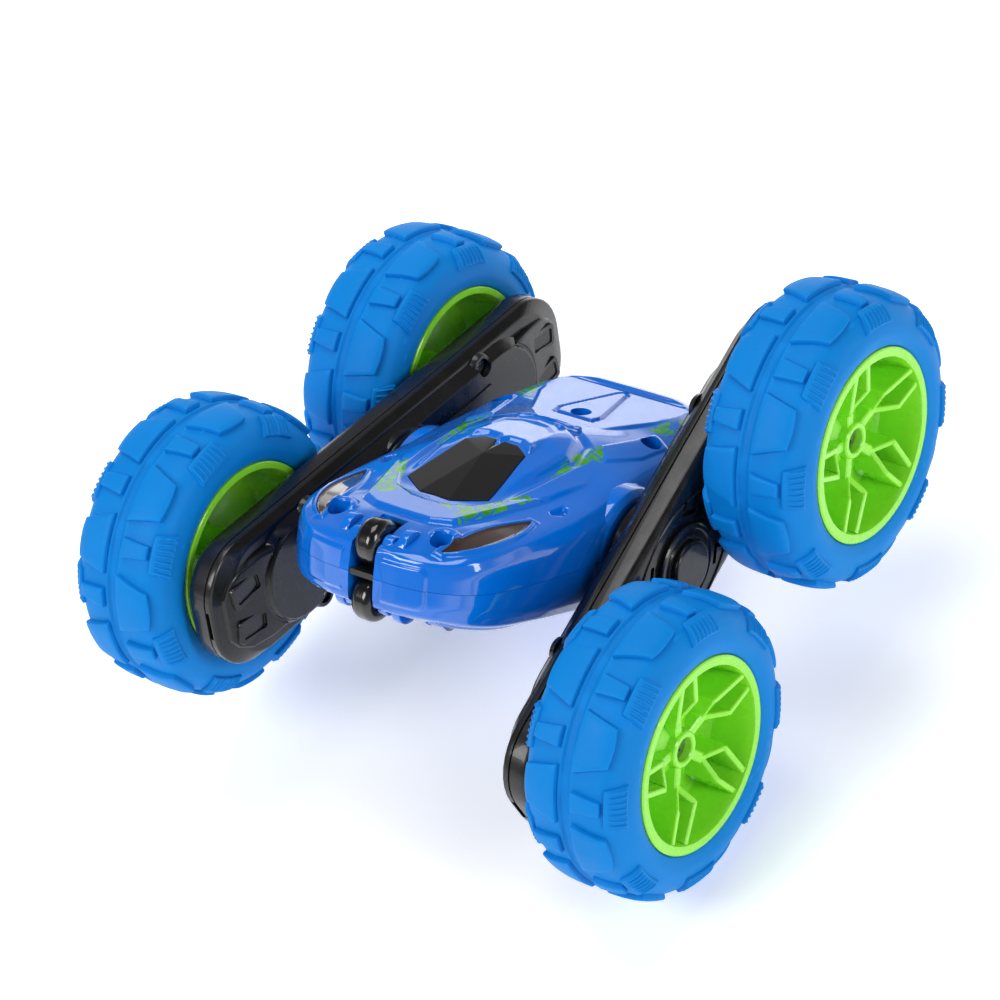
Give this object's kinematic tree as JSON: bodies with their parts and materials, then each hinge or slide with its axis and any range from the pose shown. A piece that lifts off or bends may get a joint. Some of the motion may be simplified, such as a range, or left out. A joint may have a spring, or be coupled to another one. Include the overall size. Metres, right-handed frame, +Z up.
{
  "type": "rc stunt car",
  "caption": "Double-sided stunt car: slim body hung on a crosswise pivot between long arms, each arm carrying big treaded wheels and its own geared motor.",
  "frame": {"origin": "centre of the overall box, at floor level under the tyres", "axes": "+X to the car's left, +Y from nose to tail, +Z up"},
  "size_m": [0.183, 0.186, 0.1083],
  "materials": {
    "body_blue": "glossy moulded blue plastic",
    "glass_black": "mirror-gloss black plastic",
    "lens_smoke": "smoke-brown clear plastic",
    "led_clear": "clear epoxy",
    "steel": "zinc-plated steel",
    "brass": "turned brass",
    "motor_steel": "drawn metal can, lighter than solid steel",
    "trim_black": "gloss black plastic",
    "arm_black": "gloss black plastic",
    "tyre_blue": "soft satin azure rubber",
    "rim_green": "glossy lime green plastic",
    "gear_white": "white acetal",
    "battery_wrap": "shrink wrap",
    "board_green": "green circuit laminate",
    "switch_black": "matt black plastic"
  },
  "bodies": {
    "chassis": {"upper_shell": "body_blue", "lower_shell": "body_blue", "windscreen_top": "glass_black", "windscreen_bottom": "glass_black", "headlamp_lens_top_left": "lens_smoke", "headlamp_lens_top_right": "lens_smoke", "headlamp_lens_bottom_left": "lens_smoke", "headlamp_lens_bottom_right": "lens_smoke", "headlamp_leds": "led_clear", "roller_bracket_nose": "trim_black", "roller_bracket_tail": "trim_black", "roller_pins": "steel", "body_screws": "steel", "battery_door": "body_blue", "battery_pack": "battery_wrap", "circuit_board": "board_green", "power_switch": "switch_black"},
    "switch_slider": {"switch_slider": "switch_black"},
    "roller_nose_top": {"roller_nose_top": "trim_black"},
    "roller_nose_bottom": {"roller_nose_bottom": "trim_black"},
    "roller_tail_top": {"roller_tail_top": "trim_black"},
    "roller_tail_bottom": {"roller_tail_bottom": "trim_black"},
    "arm_left": {"arm_inner_shell_left": "arm_black", "arm_outer_shell_left": "arm_black", "hub_cap_left": "arm_black", "motor_left": "motor_steel", "gear_pins_left": "steel", "arm_screws_left": "steel"},
    "wheel_front_left": {"tyre_front_left": "tyre_blue", "rim_front_left": "rim_green", "wheel_screw_front_left": "steel", "drive_axle_front_left": "gear_white"},
    "idler_gear_front_left": {"idler_gear_front_left": "gear_white"},
    "reduction_gear_front_left": {"reduction_gear_front_left": "gear_white"},
    "wheel_rear_left": {"tyre_rear_left": "tyre_blue", "rim_rear_left": "rim_green", "wheel_screw_rear_left": "steel", "drive_axle_rear_left": "gear_white"},
    "idler_gear_rear_left": {"idler_gear_rear_left": "gear_white"},
    "reduction_gear_rear_left": {"reduction_gear_rear_left": "gear_white"},
    "motor_pinion_left": {"motor_pinion_left": "brass"},
    "arm_right": {"arm_inner_shell_right": "arm_black", "arm_outer_shell_right": "arm_black", "hub_cap_right": "arm_black", "motor_right": "motor_steel", "gear_pins_right": "steel", "arm_screws_right": "steel"},
    "wheel_front_right": {"tyre_front_right": "tyre_blue", "rim_front_right": "rim_green", "wheel_screw_front_right": "steel", "drive_axle_front_right": "gear_white"},
    "idler_gear_front_right": {"idler_gear_front_right": "gear_white"},
    "reduction_gear_front_right": {"reduction_gear_front_right": "gear_white"},
    "wheel_rear_right": {"tyre_rear_right": "tyre_blue", "rim_rear_right": "rim_green", "wheel_screw_rear_right": "steel", "drive_axle_rear_right": "gear_white"},
    "idler_gear_rear_right": {"idler_gear_rear_right": "gear_white"},
    "reduction_gear_rear_right": {"reduction_gear_rear_right": "gear_white"},
    "motor_pinion_right": {"motor_pinion_right": "brass"}
  },
  "joints": [
    {"name": "power_switch_slide", "type": "slide", "parent": "chassis", "child": "switch_slider", "axis": [0, 0.848, -0.5299], "range_m": [0, 0.003]},
    {"name": "roller_nose_top_spin", "type": "hinge", "parent": "chassis", "child": "roller_nose_top", "pos_m": [0, -0.053, 0.09671], "axis": [1, 0, 0], "continuous": true},
    {"name": "roller_nose_bottom_spin", "type": "hinge", "parent": "chassis", "child": "roller_nose_bottom", "pos_m": [0, -0.06148, 0.08315], "axis": [1, 0, 0], "continuous": true},
    {"name": "roller_tail_top_spin", "type": "hinge", "parent": "chassis", "child": "roller_tail_top", "pos_m": [0, 0.06131, 0.0366], "axis": [1, 0, 0], "continuous": true},
    {"name": "roller_tail_bottom_spin", "type": "hinge", "parent": "chassis", "child": "roller_tail_bottom", "pos_m": [0, 0.04266, 0.00675], "axis": [1, 0, 0], "continuous": true},
    {"name": "arm_left_swing", "type": "hinge", "parent": "chassis", "child": "arm_left", "pos_m": [0.0353, 0, 0.05416], "axis": [1, 0, 0], "continuous": true},
    {"name": "wheel_front_left_spin", "type": "hinge", "parent": "arm_left", "child": "wheel_front_left", "pos_m": [0.0745, -0.04997, 0.043], "axis": [1, 0, 0], "continuous": true},
    {"name": "idler_gear_front_left_spin", "type": "hinge", "parent": "arm_left", "child": "idler_gear_front_left", "pos_m": [0.0505, -0.03006, 0.04745], "axis": [1, 0, 0], "continuous": true},
    {"name": "reduction_gear_front_left_spin", "type": "hinge", "parent": "arm_left", "child": "reduction_gear_front_left", "pos_m": [0.0488, -0.01522, 0.05076], "axis": [1, 0, 0], "continuous": true},
    {"name": "wheel_rear_left_spin", "type": "hinge", "parent": "arm_left", "child": "wheel_rear_left", "pos_m": [0.0745, 0.04997, 0.06532], "axis": [1, 0, 0], "continuous": true},
    {"name": "idler_gear_rear_left_spin", "type": "hinge", "parent": "arm_left", "child": "idler_gear_rear_left", "pos_m": [0.0505, 0.03006, 0.06087], "axis": [1, 0, 0], "continuous": true},
    {"name": "reduction_gear_rear_left_spin", "type": "hinge", "parent": "arm_left", "child": "reduction_gear_rear_left", "pos_m": [0.0488, 0.01522, 0.05756], "axis": [1, 0, 0], "continuous": true},
    {"name": "motor_pinion_left_spin", "type": "hinge", "parent": "arm_left", "child": "motor_pinion_left", "pos_m": [0.046, 0, 0.05416], "axis": [1, 0, 0], "continuous": true},
    {"name": "arm_right_swing", "type": "hinge", "parent": "chassis", "child": "arm_right", "pos_m": [-0.0353, 0, 0.05416], "axis": [1, 0, 0], "continuous": true},
    {"name": "wheel_front_right_spin", "type": "hinge", "parent": "arm_right", "child": "wheel_front_right", "pos_m": [-0.0745, -0.04997, 0.06532], "axis": [1, 0, 0], "continuous": true},
    {"name": "idler_gear_front_right_spin", "type": "hinge", "parent": "arm_right", "child": "idler_gear_front_right", "pos_m": [-0.0505, -0.03006, 0.06087], "axis": [1, 0, 0], "continuous": true},
    {"name": "reduction_gear_front_right_spin", "type": "hinge", "parent": "arm_right", "child": "reduction_gear_front_right", "pos_m": [-0.0488, -0.01522, 0.05756], "axis": [1, 0, 0], "continuous": true},
    {"name": "wheel_rear_right_spin", "type": "hinge", "parent": "arm_right", "child": "wheel_rear_right", "pos_m": [-0.0745, 0.04997, 0.043], "axis": [1, 0, 0], "continuous": true},
    {"name": "idler_gear_rear_right_spin", "type": "hinge", "parent": "arm_right", "child": "idler_gear_rear_right", "pos_m": [-0.0505, 0.03006, 0.04745], "axis": [1, 0, 0], "continuous": true},
    {"name": "reduction_gear_rear_right_spin", "type": "hinge", "parent": "arm_right", "child": "reduction_gear_rear_right", "pos_m": [-0.0488, 0.01522, 0.05076], "axis": [1, 0, 0], "continuous": true},
    {"name": "motor_pinion_right_spin", "type": "hinge", "parent": "arm_right", "child": "motor_pinion_right", "pos_m": [-0.046, 0, 0.05416], "axis": [1, 0, 0], "continuous": true}
  ],
  "couplings": [
    {"joint": "idler_gear_front_left_spin", "follows": "wheel_front_left_spin", "ratio": -0.96154},
    {"joint": "reduction_gear_front_left_spin", "follows": "wheel_front_left_spin", "ratio": 2.0833},
    {"joint": "wheel_rear_left_spin", "follows": "wheel_front_left_spin", "ratio": 1},
    {"joint": "idler_gear_rear_left_spin", "follows": "wheel_front_left_spin", "ratio": -0.96154},
    {"joint": "reduction_gear_rear_left_spin", "follows": "wheel_front_left_spin", "ratio": 2.0833},
    {"joint": "motor_pinion_left_spin", "follows": "wheel_front_left_spin", "ratio": -8.75},
    {"joint": "idler_gear_front_right_spin", "follows": "wheel_front_right_spin", "ratio": -0.96154},
    {"joint": "reduction_gear_front_right_spin", "follows": "wheel_front_right_spin", "ratio": 2.0833},
    {"joint": "wheel_rear_right_spin", "follows": "wheel_front_right_spin", "ratio": 1},
    {"joint": "idler_gear_rear_right_spin", "follows": "wheel_front_right_spin", "ratio": -0.96154},
    {"joint": "reduction_gear_rear_right_spin", "follows": "wheel_front_right_spin", "ratio": 2.0833},
    {"joint": "motor_pinion_right_spin", "follows": "wheel_front_right_spin", "ratio": -8.75}
  ]
}
